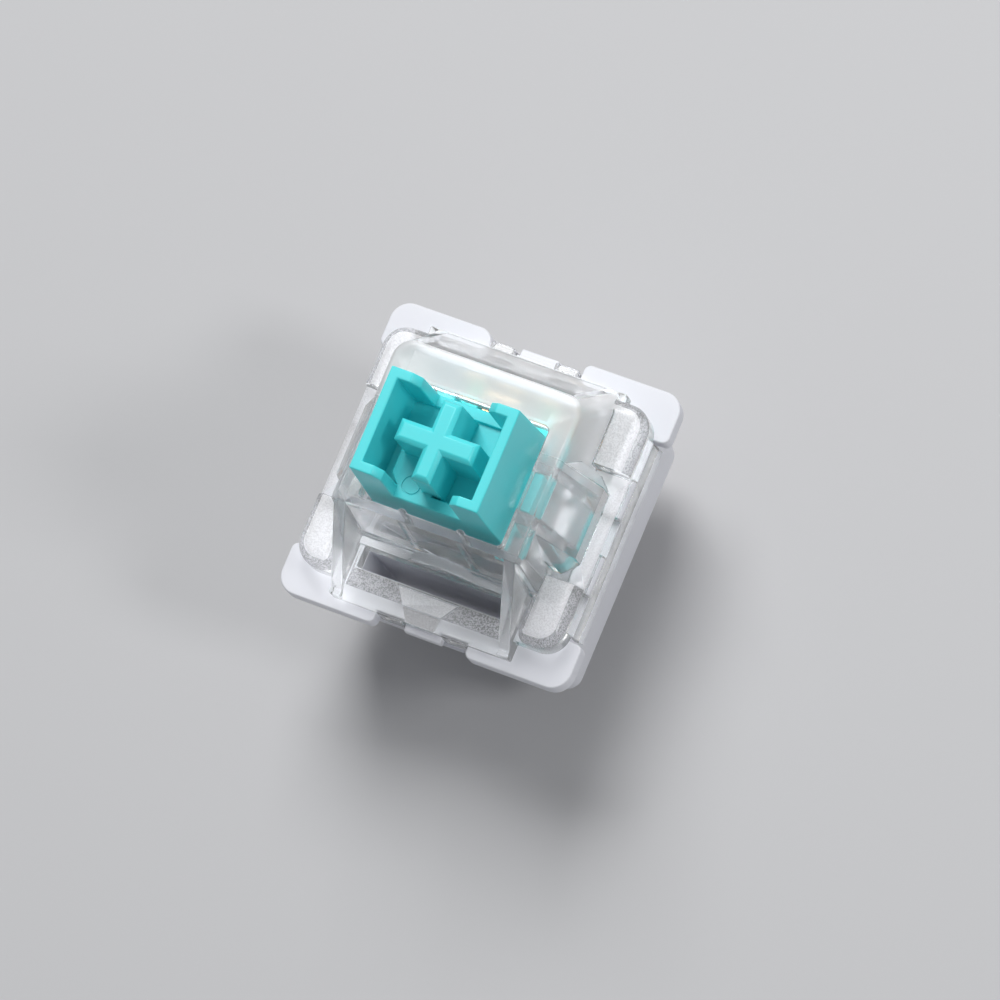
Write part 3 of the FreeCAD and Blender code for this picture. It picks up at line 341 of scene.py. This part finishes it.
# A copy of a node with its edges slightly rounded, drawn back by an air gap if one is given.
# Where one finish covers it all, each flat face is made one, so that it shades evenly.
def dress(node, body, slot, edge, materials, choose=None, air_gap=0.0):
    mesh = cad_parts[node].data.copy()
    mesh.name = "dressed_" + node
    mesh.materials.clear()
    for material in materials:
        mesh.materials.append(material)
    shape = bmesh.new()
    shape.from_mesh(mesh)
    bmesh.ops.remove_doubles(shape, verts=shape.verts, dist=SAME_POINT)
    if not choose:
        bmesh.ops.dissolve_limit(shape, angle_limit=JOIN_ANGLE, verts=shape.verts, edges=shape.edges)
    shape.normal_update()
    weigh_edges(shape, edge)
    for face in shape.faces:
        face.smooth = True
        face.material_index = choose(face) if choose else 0
    shape.to_mesh(mesh)
    shape.free()
    mesh.set_sharp_from_angle(angle=EDGE_ANGLE)
    piece = bpy.data.objects.new("dressed_" + node, mesh)
    bpy.context.scene.collection.objects.link(piece)
    rounding = piece.modifiers.new("edge_rounding", "BEVEL")
    rounding.width = edge
    rounding.segments = 2
    rounding.limit_method = "WEIGHT"
    rounding.use_clamp_overlap = False
    rounding.loop_slide = False
    rounding.material = 0
    shading = piece.modifiers.new("flat_faces_stay_flat", "WEIGHTED_NORMAL")
    shading.mode = "FACE_AREA_WITH_ANGLE"
    shading.keep_sharp = True
    if air_gap:
        air = piece.modifiers.new("air_beside_other_parts", "DISPLACE")
        air.mid_level = 0
        air.strength = -air_gap
    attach(piece, body)
    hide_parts(node)


def spring_height(turn):
    closed_rise = 2 * WIRE_RADIUS * CLOSED_PITCH
    low = SPRING_LOW + WIRE_RADIUS
    top = SPRING_TOP - WIRE_RADIUS
    open_rise = (top - low - 2 * CLOSED_TURNS * closed_rise) / OPEN_TURNS
    if turn < CLOSED_TURNS:
        return low + turn * closed_rise
    if turn < CLOSED_TURNS + OPEN_TURNS:
        return low + CLOSED_TURNS * closed_rise + (turn - CLOSED_TURNS) * open_rise
    return top - (2 * CLOSED_TURNS + OPEN_TURNS - turn) * closed_rise


def add_spring(material):
    turns = 2 * CLOSED_TURNS + OPEN_TURNS
    steps = round(turns * STEPS_PER_TURN)
    points = []
    for step in range(steps + 1):
        turn = turns * step / steps
        angle = 2 * math.pi * turn
        outward = Vector((math.cos(angle), math.sin(angle), 0))
        centre = outward * SPRING_RADIUS + Vector((0, 0, spring_height(turn)))
        for side in range(WIRE_SIDES):
            around = 2 * math.pi * side / WIRE_SIDES
            spoke = outward * math.cos(around) + Vector((0, 0, math.sin(around)))
            points.append(centre + spoke * WIRE_RADIUS)
    faces = []
    for step in range(steps):
        for side in range(WIRE_SIDES):
            here = step * WIRE_SIDES
            after = (side + 1) % WIRE_SIDES
            faces.append((here + side, here + after, here + WIRE_SIDES + after, here + WIRE_SIDES + side))
    last = steps * WIRE_SIDES
    faces.append(tuple(reversed(range(WIRE_SIDES))))
    faces.append(tuple(range(last, last + WIRE_SIDES)))
    mesh = bpy.data.meshes.new("coil")
    mesh.from_pydata(points, [], faces)
    mesh.materials.append(material)
    for face in mesh.polygons:
        face.use_smooth = True
    mesh.set_sharp_from_angle(angle=WIRE_END_ANGLE)
    spring = bpy.data.objects.new("coil", mesh)
    bpy.context.scene.collection.objects.link(spring)
    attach(spring, "housing")
    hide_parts("return_spring")
    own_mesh(spring)


# Finishes of the clear housing
POLISHED, SATIN, BLASTED, FROSTED = range(4)


# Satin outside and on the light guide, sand-blasted on the pads, the bulge
# sides, the near strip and the tongue, and polished elsewhere in the recess,
# inside and on the skirt
def clear_finish(face):
    x, y, z = face.calc_center_median() / MM
    faces_up = face.normal.z > FACING_UP
    recess = y < RECESS_FAR and abs(x) < RECESS_HALF
    near_strip = y < STRIP_FAR and recess and faces_up
    tongue = near_strip and z > TONGUE_LOW
    light_guide = y < GUIDE_FAR and recess and GUIDE_LOW < z < GUIDE_HIGH
    inside = abs(x) < INSIDE_HALF and INSIDE_NEAR < y < INSIDE_FAR and z < INSIDE_HIGH
    pad = abs(x) > PAD_INNER_X and abs(y) > PAD_INNER_Y and PAD_LOW < z < PAD_HIGH
    bulge_side = abs(x) > BULGE_INNER_X and abs(y) < BULGE_HALF and BULGE_LOW < z < BULGE_HIGH
    if tongue or bulge_side or (pad and faces_up):
        return FROSTED
    if near_strip or pad:
        return BLASTED
    if light_guide:
        return SATIN
    if recess or inside or z < SKIRT_HIGH:
        return POLISHED
    return SATIN


# The frosted tongue runs on over the slant at the near edge: a thin tapered
# slab, whose corners come in pairs, one under and one over the slant
def add_tongue_end(material):
    slant = Vector((0, -1, -1)).normalized()
    outward = Vector((0, -1, 1)).normalized() * TONGUE_LIFT
    corners = []
    for half_width, way in ((TONGUE_HALF, 0), (TONGUE_END_HALF, TONGUE_LENGTH)):
        middle = TONGUE_START + slant * way
        for side in (-1, 1):
            place = middle + Vector((side * half_width, 0, 0))
            corners += [place - outward, place + outward]
    faces = [(1, 3, 7, 5), (0, 4, 6, 2), (0, 1, 5, 4), (2, 6, 7, 3), (0, 2, 3, 1), (4, 5, 7, 6)]
    mesh = bpy.data.meshes.new("tongue_end")
    mesh.from_pydata(corners, [], faces)
    mesh.materials.append(material)
    tongue = bpy.data.objects.new("tongue_end", mesh)
    bpy.context.scene.collection.objects.link(tongue)
    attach(tongue, "housing")


def add_floor():
    half = FLOOR_SIZE / 2
    mesh = bpy.data.meshes.new("floor")
    corners = [(x * half, y * half, FLOOR_HEIGHT) for x, y in ((-1, -1), (1, -1), (1, 1), (-1, 1))]
    mesh.from_pydata(corners, [], [(0, 1, 2, 3)])
    floor = bpy.data.objects.new("floor", mesh)
    bpy.context.scene.collection.objects.link(floor)
    mesh.materials.append(solid_material("floor", FLOOR_COLOUR, roughness=0.6))


# A square lamp that looks at the switch
def add_area_light(name, place, size, power):
    data = bpy.data.lights.new(name, "AREA")
    data.shape = "SQUARE"
    data.size = size
    data.energy = power
    light = bpy.data.objects.new(name, data)
    light.location = place
    light.rotation_euler = (-Vector(place)).to_track_quat("-Z", "Y").to_euler()
    bpy.context.scene.collection.objects.link(light)


def add_world():
    world = bpy.data.worlds.new("studio")
    world.use_nodes = True
    background = world.node_tree.nodes["Background"]
    background.inputs["Color"].default_value = (*SKY_COLOUR, 1)
    background.inputs["Strength"].default_value = SKY_STRENGTH
    bpy.context.scene.world = world


# Grain is given as its period and height, specks as their period and darkest
# share, and haze as the roughness and clearness that it ends in
milky = solid_material("milky_nylon", (0.78, 0.79, 0.84), roughness=0.42, soft=0.25,
                       grain=(0.08 * MM, 0.002 * MM))
teal = solid_material("teal_plastic", (0.09, 0.74, 0.78), roughness=0.35, soft=0.35,
                      soft_colour=(0.2, 1.0, 1.0), grain=(0.1 * MM, 0.001 * MM))
steel = solid_material("spring_wire", (0.72, 0.73, 0.75), roughness=0.25, metallic=1.0)
bronze = solid_material("contact_bronze", (0.78, 0.52, 0.28), roughness=0.3, metallic=1.0)
gold = solid_material("contact_gold", (0.95, 0.70, 0.28), roughness=0.22, metallic=1.0)
polished = clear_material("clear_polished", (0.95, 0.96, 0.96), roughness=0.05, clearness=0.93, tint=0.78)
satin = clear_material("clear_satin", (0.95, 0.955, 0.96), roughness=0.22, clearness=0.78, tint=0.72,
                       grain=(0.10 * MM, 0.005 * MM), haze=(0.36, 0.48))
blasted = clear_material("clear_blasted", (0.84, 0.84, 0.86), roughness=0.16, clearness=0.55, tint=0.7,
                         grain=(0.06 * MM, 0.010 * MM), specks=(0.06 * MM, 0.3))
frosted = clear_material("clear_frosted", (0.98, 0.98, 1.0), roughness=0.3, clearness=0.36, tint=0.7,
                         grain=(0.07 * MM, 0.012 * MM), specks=(0.07 * MM, 0.78))

dress("bottom_housing", "housing", "milky_case", CASE_EDGE, [milky], air_gap=AIR_GAP)
dress("top_housing", "housing", "clear_case", CLEAR_EDGE, [polished, satin, blasted, frosted], clear_finish)
dress("stem", "stem", "stem_plastic", STEM_EDGE, [teal])
for node, body, slot, metal in (
    ("fixed_contact_terminal", "housing", "contact_metal", bronze),
    ("moving_contact_terminal", "housing", "contact_metal", bronze),
    ("moving_contact_leaf", "leaf", "contact_metal", bronze),
    ("fixed_contact_point", "housing", "contact_gold", gold),
    ("moving_contact_point", "leaf", "contact_gold", gold),
):
    dress(node, body, slot, METAL_EDGE, [metal], air_gap=AIR_GAP)
add_spring(steel)
add_tongue_end(frosted)

add_floor()
add_area_light("key", (-0.12, 0.28, 0.42), size=0.26, power=2.1)
add_area_light("side", (0.32, 0.05, 0.28), size=0.08, power=0.4)
add_world()
add_camera()
bpy.context.scene.view_settings.view_transform = "Standard"
